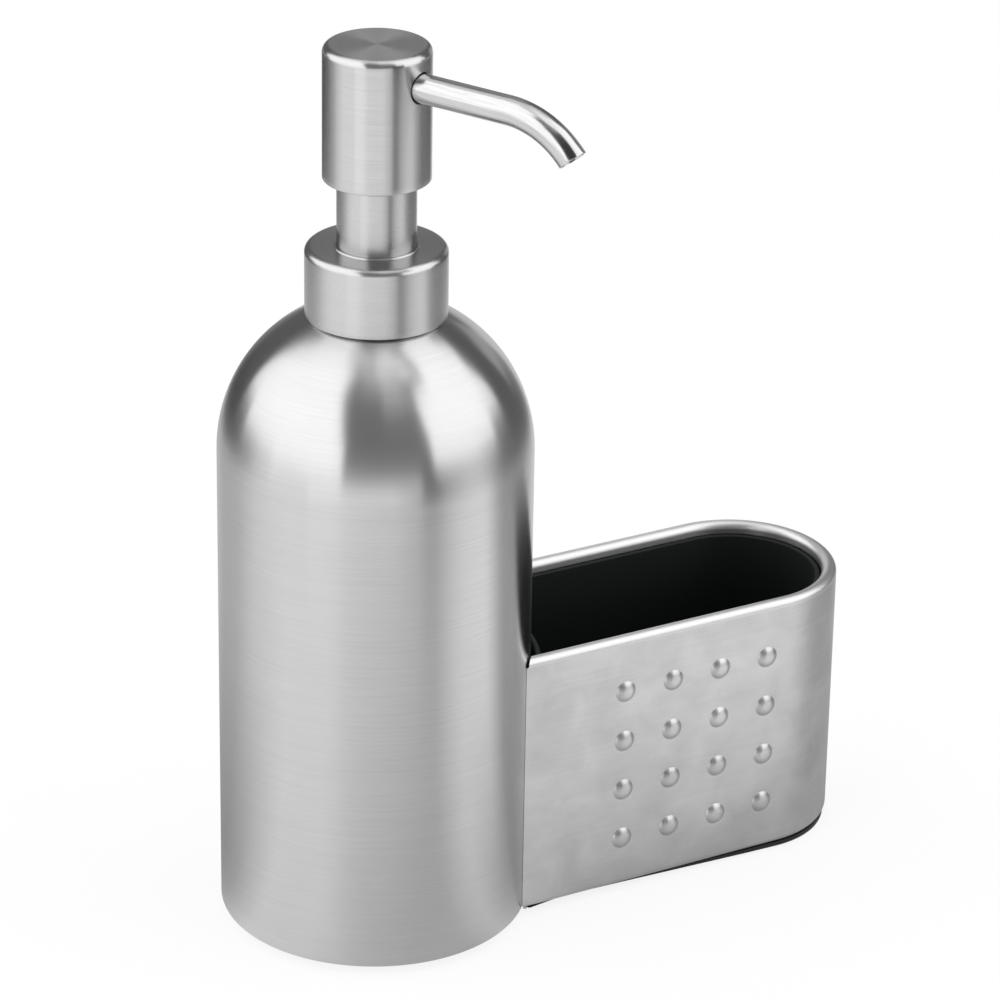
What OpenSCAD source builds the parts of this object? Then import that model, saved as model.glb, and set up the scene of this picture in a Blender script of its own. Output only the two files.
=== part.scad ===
/* [Bottle] */
// Outer diameter of the steel bottle
bottle_d = 74; // [68:1:84]
// Height of the straight wall, from its lower edge to the start of the domed shoulder
bottle_straight_h = 118.6; // [95:0.2:145]
// Thickness of the drawn steel wall
bottle_wall = 0.8; // [0.5:0.1:1.2]
// Height of the steel above the table, taken up by the foot pad
foot_lift = 1.6; // [1:0.1:3]
// Diameter of the foot pad
foot_d = 60; // [50:1:62]

/* [Neck] */
// Outer diameter of the neck that the collar screws on
neck_d = 26.4; // [25:0.2:27.4]
// Bore of the neck
neck_bore_d = 21.6; // [20:0.2:22.4]
// Height of the neck mouth above the edge of its hole in the dome
neck_rise = 10.9; // [10.5:0.1:14]

/* [Collar] */
// Outer diameter of the steel collar
collar_d = 33.1; // [32.6:0.1:36]
// Height of the steel collar
collar_h = 16.3; // [15:0.1:19]
// Radius of the collar's top edge
collar_edge_r = 1.6; // [0.9:0.1:2]
// Sheet thickness of the collar and the head shell
cap_wall = 0.8; // [0.5:0.1:1]

/* [Sleeve] */
// Outer diameter of the sleeve that stands on the collar
sleeve_d = 18.4; // [17.8:0.1:18.8]
// Height of sleeve that shows between collar and head
sleeve_show_h = 16.5; // [16:0.1:20]

/* [Head] */
// Outer diameter of the pump head
head_d = 25; // [24.4:0.1:28]
// Height of the pump head
head_h = 31.8; // [31:0.1:36]
// Radius of the head's top edge
head_edge_r = 1.8; // [0.9:0.1:3]
// Full travel of the head when it is pressed
head_stroke = 14; // [10:0.5:14.5]

/* [Spout] */
// Outer diameter of the spout tube
spout_d = 6.8; // [6:0.1:7.5]
// Wall of the spout tube
spout_wall = 0.6; // [0.4:0.1:0.8]
// Depth of the spout's axis below the top of the head
spout_drop = 7.8; // [7:0.1:9]
// Reach from the pump's axis to the middle of the outlet
spout_reach = 53.2; // [48:0.1:66]
// Radius of the bend, measured on the tube's axis
spout_bend_r = 23; // [18:0.5:26]
// Angle that the spout turns down by
spout_bend_angle = 49; // [30:0.5:60]
// Direction of the spout at rest, measured from the caddy's own direction
spout_turn = -64; // [-180:0.5:180]

/* [Caddy] */
// Outer width of the sponge caddy
caddy_w = 50; // [42:1:60]
// Distance from the bottle's axis to the far end of the caddy
caddy_reach = 125.5; // [110:0.5:150]
// Height of the steel caddy wall
caddy_h = 67.3; // [55:0.1:80]
// Sheet thickness of the caddy
caddy_wall = 0.8; // [0.5:0.1:1]
// Outer radius of the rolled rim
rim_r = 1.8; // [1.5:0.1:2.4]
// Height of the lip below the rolled rim, on the inside
rim_lip_h = 1.2; // [0.6:0.1:2]

/* [Embossed dots] */
// Number of dots along the caddy
dot_columns = 4; // [2:1:4]
// Number of dots up the caddy
dot_rows = 4; // [2:1:4]
// Distance between dots, centre to centre
dot_pitch = 13.3; // [10:0.1:14]
// Diameter of a dot where it leaves the wall
dot_d = 5.4; // [4:0.1:6]
// Height of a dot above the wall
dot_h = 1; // [0.5:0.1:1.2]
// Depth of the top row below the rim
dot_top_drop = 14.3; // [12:0.1:20]
// Distance of the last column from the far end
dot_end_inset = 30.7; // [29:0.1:36]

/* [Liner] */
// Wall of the moulded liner
liner_wall = 1.2; // [1:0.1:2]
// Depth of the liner's rim below the caddy's rim
liner_drop = 2.8; // [2:0.1:6]
// Narrowing of each liner wall from rim to floor
liner_draft = 1; // [0.4:0.1:2]
// Running clearance between liner and lip
liner_clear = 0.4; // [0.3:0.1:1]

/* [Pump] */
// Bore of the pump cylinder
barrel_bore_d = 13.5; // [12.6:0.1:14]
// Length of the pump cylinder below the neck mouth
barrel_len = 44.6; // [44:0.1:52]
// Diameter of the pump stem
stem_d = 7.8; // [7:0.1:8.4]
// Diameter of the inlet ball
ball_d = 5.6; // [5:0.1:5.8]
// Outer diameter of the dip tube
dip_d = 5; // [4.4:0.1:5.4]
// Height of the dip tube's cut end above the bottle's floor
dip_gap = 3; // [2:0.5:8]

/* [Hidden] */
$fn = 96;

// One overrun serves every cut
over = 1;
// Gap between pieces that are welded or pressed together
seat_gap = 0.05;
// Gap between flat seats of pieces that move apart
rest_gap = 0.3;
// Radial running clearance of the stem and the piston
run_gap = 0.06;

// Bottle
bottle_r = bottle_d / 2;
bottle_edge_r = 1.5;
bottle_hem_w = 3.5;
base_step = 2;
foot_r = foot_d / 2;
foot_chamfer = 0.8;
foot_gap = 0.2;
dome_z = foot_lift + bottle_straight_h;
floor_z = foot_lift + bottle_wall;

// Neck
neck_r = neck_d / 2;
neck_bore_r = neck_bore_d / 2;
neck_flange_w = 2.8;
neck_flange_t = 1.4;
neck_hole_r = neck_r + seat_gap;
neck_base_z = dome_z + sqrt(pow(bottle_r, 2) - pow(neck_hole_r, 2));
neck_top_z = neck_base_z + neck_rise;
neck_flange_r = neck_r + neck_flange_w;
neck_flange_z = dome_z + sqrt(pow(bottle_r - bottle_wall, 2) - pow(neck_flange_r, 2)) - seat_gap;

// Pieces that are stacked on the neck
gasket_t = 1;
housing_flange_t = 1.4;
closure_web_t = 1.2;
sleeve_flange_t = 0.7;
sleeve_flange_w = 2.3;
gasket_top_z = neck_top_z + gasket_t;
housing_top_z = gasket_top_z + housing_flange_t;
closure_top_z = housing_top_z + closure_web_t;
collar_top_z = closure_top_z + sleeve_flange_t + cap_wall;
collar_base_z = collar_top_z - collar_h;

// Collar
collar_r = collar_d / 2;
collar_bore_r = collar_r - cap_wall;
sleeve_r = sleeve_d / 2;
sleeve_wall = 0.7;
sleeve_bore_r = sleeve_r - sleeve_wall;
sleeve_in_head = 3;
sleeve_top_z = collar_top_z + sleeve_show_h + sleeve_in_head;
collar_bead_r = 0.35;
closure_wall = 1.7;
closure_r = collar_bore_r - seat_gap;
closure_skirt_lift = 0.9;
closure_hole_gap = 0.4;
closure_ribs = 24;
closure_rib_d = 0.9;

// Head
head_r = head_d / 2;
head_base_z = collar_top_z + sleeve_show_h;
head_top_z = head_base_z + head_h;
head_bore_r = head_r - cap_wall;
core_gap = 0.1;
core_top_z = head_top_z - cap_wall - core_gap;
core_clear = 1.2;
core_base_z = sleeve_top_z + head_stroke + core_clear;
boss_gap = 1.3;
boss_r = sleeve_bore_r - boss_gap;
boss_base_z = head_base_z + sleeve_in_head;
spout_z = head_top_z - spout_drop;

// Spout
spout_r = spout_d / 2;
spout_bore_r = spout_r - spout_wall;
spout_hole_gap = 0.4;
spout_grip = 3.6;
spout_root = head_bore_r - core_gap - spout_grip;
spout_run = spout_reach - spout_bend_r * sin(spout_bend_angle);

// Stem and piston
stem_r = stem_d / 2;
stem_wall = 1.5;
stem_bore_r = stem_r - stem_wall;
stem_foot_t = 1.2;
stem_foot_w = 1.3;
stem_neck_step = 0.9;
stem_neck_r = stem_r - stem_neck_step;
stem_top_z = core_base_z + stem_foot_t;
seal_h = 6.8;
seal_lip_h = 2;
seal_groove = 0.8;
cap_skirt_h = 8;
cap_flange_t = 1.6;
seal_top_z = housing_top_z - cap_skirt_h - rest_gap;
seal_base_z = seal_top_z - seal_h;
stem_base_z = seal_base_z - stem_foot_t;

// Pump cylinder
barrel_bore_r = barrel_bore_d / 2;
barrel_wall = 1;
barrel_r = barrel_bore_r + barrel_wall;
barrel_base_z = neck_top_z - barrel_len;
ball_r = ball_d / 2;
ball_lift = 1.6;
ball_gap = 0.5;
ball_pocket_r = ball_r + ball_gap;
ball_keeper_t = 1;
ball_keeper_r = ball_r - ball_gap;
ball_port_r = 1.9;
seat_angle = 41;
dip_r = dip_d / 2;
dip_wall = 0.6;
dip_grip = 11;
dip_grip_wall = 1;
ball_z = barrel_base_z - ball_keeper_t - ball_lift - ball_r - run_gap;
seat_z = ball_z - ball_r / sin(seat_angle) + ball_port_r / tan(seat_angle) - seat_gap;
socket_top_z = seat_z - ball_keeper_t;
socket_base_z = socket_top_z - dip_grip;
dip_base_z = floor_z + bottle_wall + base_step + dip_gap;

// Spring between the pump cylinder's floor and the stem's foot
spring_wire_d = 0.9;
spring_turns = 7;
spring_sides = 6;
spring_steps = 18;
spring_r = stem_neck_r + stem_foot_w - spring_wire_d / 2;
spring_base_z = barrel_base_z;
spring_top_z = stem_base_z;

// Caddy
caddy_half_w = caddy_w / 2;
caddy_end_x = caddy_reach - caddy_half_w;
caddy_start_x = bottle_r / 2;
caddy_base_z = foot_lift;
caddy_top_z = caddy_base_z + caddy_h;
hem_r = 2;
hem_w = 6;
rim_end_gap = 0.5;
flange_w = 9;
flange_drop = 10;
flange_r = bottle_r + seat_gap + caddy_wall;
flange_top_z = caddy_top_z - flange_drop;

// Embossed dots
dot_r = dot_d / 2;
dot_sphere_r = (pow(dot_r, 2) + pow(dot_h, 2)) / (2 * dot_h);
dot_centre_y = caddy_half_w - dot_sphere_r + dot_h;

// Caddy base
base_inset = 0.6;
base_near_t = 0.4;
base_plug_t = 1.2;
base_plug_gap = 0.3;
base_plug_top_z = caddy_base_z + caddy_wall + base_plug_t;

// Liner
liner_half_w = caddy_half_w - 2 * rim_r - liner_clear;
liner_base_z = base_plug_top_z + rest_gap;
liner_top_z = caddy_top_z - liner_drop;
liner_floor = 1.6;
liner_foot_r = 3;
liner_end_r = flange_r + liner_clear;

// A ring from r_in to r_out between two heights, as a profile to revolve
module band(r_in, r_out, z_low, z_high) {
    translate([r_in, z_low]) square([r_out - r_in, z_high - z_low]);
}

// A cylinder between two heights
module post(r, z_low, z_high) {
    translate([0, 0, z_low]) cylinder(r = r, h = z_high - z_low);
}

// A profile block whose upper outer corner is rounded
module crowned_band(r_out, z_low, z_high, edge_r) {
    band(0, r_out, z_low, z_high - edge_r);
    band(0, r_out - edge_r, z_low, z_high);
    translate([r_out - edge_r, z_high - edge_r]) circle(r = edge_r);
}

// The bottle's profile: straight wall, rounded lower edge and half-round dome
module bottle_profile(r, z_low, edge_r) {
    band(0, r, z_low + edge_r, dome_z);
    band(0, r - edge_r, z_low, dome_z);
    translate([r - edge_r, z_low + edge_r]) circle(r = edge_r);
    intersection() {
        translate([0, dome_z]) circle(r = r);
        band(0, r, dome_z, dome_z + r);
    }
}

module bottle_shell() {
    color("silver")
    rotate_extrude()
    difference() {
        bottle_profile(bottle_r, foot_lift, bottle_edge_r);
        bottle_profile(bottle_r - bottle_wall, floor_z, bottle_edge_r - bottle_wall);
        band(0, bottle_r - bottle_hem_w, foot_lift - over, floor_z + over);
        band(0, neck_hole_r, dome_z, dome_z + bottle_d);
    }
}

// Base disc: it lies on the rolled hem and steps up over the foot pad
module bottle_base() {
    land_r = bottle_r - bottle_edge_r - seat_gap;
    step_r = foot_r + foot_gap + bottle_wall;
    color("gainsboro")
    rotate_extrude() {
        band(step_r - bottle_wall, land_r, floor_z, floor_z + bottle_wall);
        band(step_r - bottle_wall, step_r, floor_z, floor_z + base_step + bottle_wall);
        band(0, step_r, floor_z + base_step, floor_z + base_step + bottle_wall);
    }
}

module foot_pad() {
    color("#202020")
    rotate_extrude()
    polygon([
        [0, 0],
        [foot_r - foot_chamfer, 0],
        [foot_r, foot_chamfer],
        [foot_r, floor_z + base_step],
        [0, floor_z + base_step]
    ]);
}

// Neck: a tube that the collar screws on, flanged under the dome
module neck_ring() {
    color("silver")
    rotate_extrude() {
        band(neck_bore_r, neck_r, neck_flange_z - neck_flange_t, neck_top_z);
        band(neck_bore_r, neck_flange_r, neck_flange_z - neck_flange_t, neck_flange_z);
    }
}

// Section of the caddy's sheet: hem, wall, rolled rim and inner lip.
// The outer face is at x = 0 and the inside of the caddy is at minus x.
module caddy_section() {
    band(-caddy_wall, 0, caddy_base_z + hem_r, caddy_top_z - rim_r);
    difference() {
        translate([-rim_r, caddy_top_z - rim_r]) circle(r = rim_r);
        translate([-rim_r, caddy_top_z - rim_r]) circle(r = rim_r - caddy_wall);
        band(-2 * rim_r - over, over, caddy_top_z - 2 * rim_r - over, caddy_top_z - rim_r);
    }
    band(-2 * rim_r, caddy_wall - 2 * rim_r, caddy_top_z - rim_r - rim_lip_h, caddy_top_z - rim_r);
    difference() {
        translate([-hem_r, caddy_base_z + hem_r]) circle(r = hem_r);
        translate([-hem_r, caddy_base_z + hem_r]) circle(r = hem_r - caddy_wall);
        band(-hem_r - hem_r - over, -hem_r, caddy_base_z - over, caddy_base_z + 2 * hem_r + over);
        band(-hem_r - over, over, caddy_base_z + hem_r, caddy_base_z + 2 * hem_r + over);
    }
    band(-hem_w, -hem_r, caddy_base_z, caddy_base_z + caddy_wall);
}

// Sweeps a section round the caddy: one long side, the round end, the other side.
// The section's x = 0 lies half_w from the caddy's middle plane.
module round_caddy(half_w) {
    for (side = [0, 1]) {
        mirror([0, side, 0])
        translate([caddy_start_x, half_w, 0])
        rotate([90, 0, 90])
        linear_extrude(height = caddy_end_x - caddy_start_x) children();
    }
    translate([caddy_end_x, 0, 0])
    rotate([0, 0, -90])
    rotate_extrude(angle = 180)
    translate([half_w, 0]) children();
}

// Places a child at every dot of both long sides, with +Z pointing out of the wall
module at_dots() {
    for (side = [0, 1]) {
        mirror([0, side, 0])
        for (column = [0 : dot_columns - 1]) {
            for (row = [0 : dot_rows - 1]) {
                translate([
                    caddy_reach - dot_end_inset - column * dot_pitch,
                    dot_centre_y,
                    caddy_top_z - dot_top_drop - row * dot_pitch
                ])
                rotate([-90, 0, 0]) children();
            }
        }
    }
}

module caddy_shell() {
    color("silver")
    difference() {
        union() {
            round_caddy(caddy_half_w) caddy_section();
            for (side = [0, 1]) {
                mirror([0, side, 0])
                intersection() {
                    post(flange_r, caddy_base_z, flange_top_z);
                    translate([0, caddy_half_w - flange_w, caddy_base_z])
                    cube([bottle_d, flange_w - caddy_wall / 2, caddy_h]);
                }
            }
            at_dots() intersection() {
                sphere(r = dot_sphere_r);
                post(dot_d, dot_sphere_r - dot_h - caddy_wall / 2, dot_sphere_r + over);
            }
        }
        post(bottle_r + seat_gap, caddy_base_z - over, caddy_top_z + over);
        post(bottle_r + rim_end_gap, caddy_top_z - rim_r, caddy_top_z + over);
        at_dots() sphere(r = dot_sphere_r - caddy_wall);
    }
}

// Plan of a slab that follows the caddy, inset from its outer face
module caddy_plan(inset) {
    translate([caddy_start_x, inset - caddy_half_w])
    square([caddy_end_x - caddy_start_x, caddy_w - 2 * inset]);
    translate([caddy_end_x, 0]) circle(r = caddy_half_w - inset);
}

// Moulded base: a sole below the hem that deepens towards the far end, and a plug inside it
module caddy_base() {
    near_x = bottle_r;
    slope = atan((foot_lift - base_near_t) / (caddy_reach - base_inset - near_x));
    color("#333333")
    union() {
        difference() {
            linear_extrude(height = foot_lift) caddy_plan(base_inset);
            translate([caddy_reach - base_inset, -caddy_w, 0])
            rotate([0, 180 + slope, 0])
            cube([2 * caddy_reach, 2 * caddy_w, 2 * caddy_w]);
            post(bottle_r + rest_gap, -over, foot_lift + over);
        }
        difference() {
            translate([0, 0, foot_lift])
            linear_extrude(height = caddy_wall + base_plug_t) caddy_plan(hem_w + base_plug_gap);
            post(flange_r + base_plug_gap, foot_lift - over, base_plug_top_z + over);
        }
    }
}

// Outline of the liner's section: rounded foot, drafted walls
module liner_section(half_w, z_low, z_high, foot_r) {
    foot_w = half_w - liner_draft;
    polygon([
        [foot_r - foot_w, z_low],
        [foot_w - foot_r, z_low],
        [foot_w, z_low + foot_r],
        [half_w, z_high],
        [-half_w, z_high],
        [-foot_w, z_low + foot_r]
    ]);
    for (side = [-1, 1]) {
        translate([side * (foot_w - foot_r), z_low + foot_r]) circle(r = foot_r);
    }
}

// A liner-shaped block with a round far end and a concave near end
module liner_block(half_w, z_low, z_high, foot_r, near_r) {
    difference() {
        union() {
            translate([caddy_start_x, 0, 0])
            rotate([90, 0, 90])
            linear_extrude(height = caddy_end_x - caddy_start_x)
            liner_section(half_w, z_low, z_high, foot_r);
            translate([caddy_end_x, 0, 0])
            rotate_extrude()
            intersection() {
                liner_section(half_w, z_low, z_high, foot_r);
                band(0, half_w, z_low, z_high);
            }
        }
        post(near_r, z_low - over, z_high + over);
    }
}

module liner() {
    color("#1c1c1c")
    difference() {
        liner_block(liner_half_w, liner_base_z, liner_top_z, liner_foot_r, liner_end_r);
        liner_block(
            liner_half_w - liner_wall, liner_base_z + liner_floor, liner_top_z + over,
            liner_foot_r - liner_wall, liner_end_r + liner_wall
        );
    }
}

module neck_gasket() {
    color("whitesmoke")
    rotate_extrude() band(barrel_r + rest_gap, neck_r - rest_gap, neck_top_z, gasket_top_z);
}

// Pump cylinder: flange on the gasket, barrel, ball cage, valve seat and dip tube socket
module pump_housing() {
    socket_r = dip_r + dip_grip_wall;
    cage_r = ball_pocket_r + barrel_wall;
    cone_top_z = seat_z + (ball_pocket_r - ball_port_r) / tan(seat_angle);
    keeper_z = barrel_base_z - ball_keeper_t;
    color("white")
    rotate_extrude()
    difference() {
        union() {
            band(0, neck_r - rest_gap, gasket_top_z, housing_top_z);
            band(0, barrel_r, barrel_base_z - barrel_wall, housing_top_z);
            polygon([
                [0, keeper_z - barrel_wall],
                [barrel_r, barrel_base_z - barrel_wall],
                [0, barrel_base_z]
            ]);
            band(0, cage_r, seat_z - barrel_wall, keeper_z);
            band(0, socket_r, socket_base_z, seat_z);
        }
        band(0, barrel_bore_r, barrel_base_z, housing_top_z + over);
        band(0, ball_keeper_r, keeper_z - over, barrel_base_z + over);
        band(0, ball_pocket_r, cone_top_z, keeper_z);
        polygon([
            [0, seat_z],
            [ball_port_r, seat_z],
            [ball_pocket_r, cone_top_z],
            [0, cone_top_z]
        ]);
        band(0, ball_port_r, socket_top_z - over, seat_z + over);
        band(0, dip_r + seat_gap, socket_base_z - over, socket_top_z);
    }
}

// Snap-in cap of the cylinder: it guides the stem and stops the piston
module housing_cap() {
    color("gainsboro")
    rotate_extrude() {
        band(stem_r + run_gap, barrel_bore_r - seat_gap, housing_top_z - cap_skirt_h, housing_top_z);
        band(stem_r + run_gap, barrel_r, housing_top_z, housing_top_z + cap_flange_t);
    }
}

module inlet_ball() {
    color("lightgray")
    translate([0, 0, ball_z]) sphere(r = ball_r);
}

// Dip tube with a slanted foot
module dip_tube() {
    color("white")
    difference() {
        post(dip_r, dip_base_z, socket_top_z);
        post(dip_r - dip_wall, dip_base_z - over, socket_top_z + over);
        translate([-dip_r, -dip_d, dip_base_z])
        rotate([0, 45, 0])
        cube(2 * dip_d);
    }
}

// Screw cap inside the collar, ribbed where the steel grips it
module closure() {
    hole_r = barrel_r + closure_hole_gap;
    rib_r = closure_rib_d / 2;
    color("#2b2b2b")
    difference() {
        rotate_extrude() {
            band(closure_r - closure_wall, closure_r, collar_base_z + closure_skirt_lift, closure_top_z);
            band(hole_r, closure_r, housing_top_z, closure_top_z);
        }
        for (rib = [0 : closure_ribs - 1]) {
            rotate([0, 0, rib * 360 / closure_ribs])
            translate([closure_r, 0, collar_base_z])
            cylinder(r = rib_r, h = closure_top_z - collar_base_z - closure_web_t);
        }
    }
}

module collar_shell() {
    hole_r = sleeve_r + seat_gap;
    color("silver")
    rotate_extrude() {
        difference() {
            crowned_band(collar_r, collar_base_z, collar_top_z, collar_edge_r);
            crowned_band(
                collar_bore_r, collar_base_z - over, collar_top_z - cap_wall, collar_edge_r - cap_wall
            );
            band(0, hole_r, collar_base_z, collar_top_z + over);
        }
        intersection() {
            translate([hole_r + collar_bead_r, collar_top_z]) circle(r = collar_bead_r);
            band(hole_r, collar_r, collar_top_z, collar_top_z + over);
        }
    }
}

module stem_sleeve() {
    color("silver")
    rotate_extrude() {
        band(sleeve_bore_r, sleeve_r, closure_top_z, sleeve_top_z);
        band(sleeve_bore_r, sleeve_r + sleeve_flange_w, closure_top_z, closure_top_z + sleeve_flange_t);
    }
}

// Piston with a sealing lip at each end
module piston_seal() {
    color("whitesmoke")
    rotate_extrude()
    difference() {
        band(stem_neck_r + seat_gap, barrel_bore_r - run_gap, seal_base_z, seal_top_z);
        band(
            barrel_bore_r - run_gap - seal_groove, barrel_bore_r + over,
            seal_base_z + seal_lip_h, seal_top_z - seal_lip_h
        );
    }
}

module pump_stem() {
    color("white")
    rotate_extrude()
    difference() {
        union() {
            band(0, stem_r, seal_top_z, stem_top_z);
            band(0, stem_neck_r, stem_base_z, seal_top_z);
            band(0, stem_neck_r + stem_foot_w, stem_base_z, seal_base_z);
        }
        band(0, stem_bore_r, stem_base_z - over, stem_top_z + over);
    }
}

// The spring's wire is one tube along a helix
function helix_point(turn) = let (
    height = spring_top_z - spring_base_z - spring_wire_d - 2 * seat_gap
) [
    spring_r * cos(360 * turn),
    spring_r * sin(360 * turn),
    spring_base_z + seat_gap + spring_wire_d / 2 + height * turn / spring_turns
];

module return_spring() {
    rings = spring_turns * spring_steps;
    wire_r = spring_wire_d / 2;
    points = [
        for (ring = [0 : rings], side = [0 : spring_sides - 1])
            let (
                turn = ring / spring_steps,
                around = 360 * side / spring_sides,
                out = wire_r * cos(around)
            )
            helix_point(turn) + [out * cos(360 * turn), out * sin(360 * turn), wire_r * sin(around)]
    ];
    walls = [
        for (ring = [0 : rings - 1], side = [0 : spring_sides - 1])
            let (
                low = ring * spring_sides,
                next = (side + 1) % spring_sides
            )
            each [
                [low + side, low + next, low + spring_sides + side],
                [low + next, low + spring_sides + next, low + spring_sides + side]
            ]
    ];
    first_end = [for (side = [0 : spring_sides - 1]) spring_sides - 1 - side];
    last_end = [for (side = [0 : spring_sides - 1]) rings * spring_sides + side];
    color("lightgray")
    polyhedron(points = points, faces = concat(walls, [first_end, last_end]));
}

// Turns a child to the spout's direction and lifts it to the spout's height
module at_spout() {
    rotate([0, 0, spout_turn]) translate([0, 0, spout_z]) children();
}

// Moulded core of the head: it holds the stem and the spout and fills the steel shell
module head_core() {
    color("#2b2b2b")
    difference() {
        rotate_extrude()
        difference() {
            union() {
                crowned_band(head_bore_r - core_gap, core_base_z, core_top_z, head_edge_r - cap_wall);
                band(0, boss_r, boss_base_z, core_top_z);
            }
            band(0, stem_r + seat_gap, boss_base_z - over, stem_top_z + seat_gap);
            band(0, stem_bore_r, stem_top_z - over, spout_z);
        }
        at_spout() rotate([0, 90, 0]) {
            cylinder(r = stem_bore_r, h = spout_root + over);
            translate([0, 0, spout_root - seat_gap]) cylinder(r = spout_r + seat_gap, h = head_r);
        }
    }
}

module head_shell() {
    color("silver")
    difference() {
        rotate_extrude()
        difference() {
            crowned_band(head_r, head_base_z, head_top_z, head_edge_r);
            crowned_band(head_bore_r, head_base_z - over, head_top_z - cap_wall, head_edge_r - cap_wall);
        }
        at_spout() rotate([0, 90, 0])
        translate([0, 0, head_r / 2]) cylinder(r = spout_r + spout_hole_gap, h = head_r);
    }
}

// Section of the spout's wall
module spout_section() {
    difference() {
        circle(r = spout_r);
        circle(r = spout_bore_r);
    }
}

// Spout: a straight run from the core, then the bend, cut square at its end
module spout_tube() {
    color("silver")
    at_spout() {
        translate([spout_root, 0, 0])
        rotate([0, 90, 0])
        linear_extrude(height = spout_run - spout_root) spout_section();
        translate([spout_run, 0, -spout_bend_r])
        rotate([0, -90, -90])
        rotate_extrude(angle = spout_bend_angle)
        translate([spout_bend_r, 0]) spout_section();
    }
}

bottle_shell();
bottle_base();
foot_pad();
neck_ring();
caddy_shell();
caddy_base();
liner();
neck_gasket();
pump_housing();
housing_cap();
inlet_ball();
dip_tube();
closure();
collar_shell();
stem_sleeve();
piston_seal();
pump_stem();
return_spring();
head_core();
head_shell();
spout_tube();
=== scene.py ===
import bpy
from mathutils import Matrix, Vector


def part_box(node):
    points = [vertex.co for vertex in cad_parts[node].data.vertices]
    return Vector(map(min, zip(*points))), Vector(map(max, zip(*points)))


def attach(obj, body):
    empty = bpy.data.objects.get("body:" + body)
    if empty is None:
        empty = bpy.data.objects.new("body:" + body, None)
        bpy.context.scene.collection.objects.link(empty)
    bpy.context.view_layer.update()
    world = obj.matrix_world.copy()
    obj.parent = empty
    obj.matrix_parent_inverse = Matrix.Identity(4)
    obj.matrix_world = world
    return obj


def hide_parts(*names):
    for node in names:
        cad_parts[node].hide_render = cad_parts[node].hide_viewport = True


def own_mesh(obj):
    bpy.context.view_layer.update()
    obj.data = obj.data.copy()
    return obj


bl_info = {
    "name": "Soap pump caddy",
    "version": (1, 0, 0),
    "blender": (4, 5, 0),
    "location": "View3D > Sidebar > Soap Caddy",
    "description": "Gives the packed soap pump caddy its fine surfaces, finishes and studio",
    "category": "Object",
}

import math

import bpy
import numpy as np
from mathutils import Matrix, Vector

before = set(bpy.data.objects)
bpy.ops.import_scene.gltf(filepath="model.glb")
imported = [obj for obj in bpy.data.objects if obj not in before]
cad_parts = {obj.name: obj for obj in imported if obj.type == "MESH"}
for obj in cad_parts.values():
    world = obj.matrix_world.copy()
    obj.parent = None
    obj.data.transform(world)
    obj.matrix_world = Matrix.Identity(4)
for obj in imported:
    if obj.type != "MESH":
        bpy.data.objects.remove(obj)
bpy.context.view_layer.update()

# Shapes are worked out in millimetres and written to meshes in metres
MM = 0.001
TAU = 2 * math.pi


# Colours and nodes

def linear(hex_colour):
    """An sRGB hex colour as linear red, green, blue and alpha."""
    parts = [int(hex_colour[i:i + 2], 16) / 255 for i in (0, 2, 4)]
    return [p / 12.92 if p <= 0.04045 else ((p + 0.055) / 1.055) ** 2.4 for p in parts] + [1.0]


def add(tree, kind, values=None, links=None, **settings):
    """Adds one node with its settings, socket values and incoming links."""
    node = tree.nodes.new(kind)
    for key, value in settings.items():
        setattr(node, key, value)
    for key, value in (values or {}).items():
        node.inputs[key].default_value = value
    for key, socket in (links or {}).items():
        tree.links.new(socket, node.inputs[key])
    return node


def size_property(name, description, default):
    """A setting for a length in metres."""
    return bpy.props.FloatProperty(name=name, description=description, default=default,
                                   unit="LENGTH", subtype="DISTANCE", precision=6)


def roughness_property(description, default):
    """A setting for the roughness of a surface, from nearly polished to matt."""
    return bpy.props.FloatProperty(name="Roughness", description=description, default=default,
                                   subtype="FACTOR", min=0.05, max=1.0)


def colour_property(name, description, hex_colour):
    """A colour setting with its default given as an sRGB hex colour."""
    return bpy.props.FloatVectorProperty(name=name, description=description, subtype="COLOR", size=3,
                                         min=0.0, max=1.0, default=linear(hex_colour)[:3])


def opaque(setting):
    """A colour setting as linear red, green, blue and alpha."""
    return [*setting, 1.0]


def new_material(name):
    """An empty node material, its tree and its output node."""
    material = bpy.data.materials.new(name)
    material.use_nodes = True
    material.node_tree.nodes.clear()
    return material, material.node_tree, add(material.node_tree, "ShaderNodeOutputMaterial")


# Surfaces in millimetres

class Skin:
    """Points, faces and brushing coordinates of one piece.

    The brushing map runs along the brushing in u and across it in v, both in metres."""

    def __init__(self):
        self.points, self.faces, self.brush, self.parts = [], [], [], []

    def point(self, x, y, z):
        self.points.append((x, y, z))
        return len(self.points) - 1

    def face(self, ids, brush, part=0):
        kept = [k for k in range(len(ids)) if ids[k] != ids[k - 1]]
        if len(kept) > 2:
            self.faces.append([ids[k] for k in kept])
            self.brush.extend((brush[k][0] * MM, brush[k][1] * MM) for k in kept)
            self.parts.append(part)

    def piece(self, name, body, slot, materials, replaces=(), sharp=30):
        mesh = bpy.data.meshes.new(name)
        mesh.from_pydata((np.array(self.points) * MM).tolist(), [], self.faces)
        layer = mesh.uv_layers.new(name="Brush")
        layer.data.foreach_set("uv", np.array(self.brush, np.float32).ravel())
        for material in materials:
            mesh.materials.append(material)
        mesh.polygons.foreach_set("material_index", self.parts)
        mesh.polygons.foreach_set("use_smooth", [True] * len(self.faces))
        mesh.update()
        mesh.set_sharp_from_angle(angle=math.radians(sharp))
        piece = bpy.data.objects.new(name, mesh)
        bpy.context.scene.collection.objects.link(piece)
        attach(piece, body)
        if replaces:
            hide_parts(*replaces)
        return piece


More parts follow.
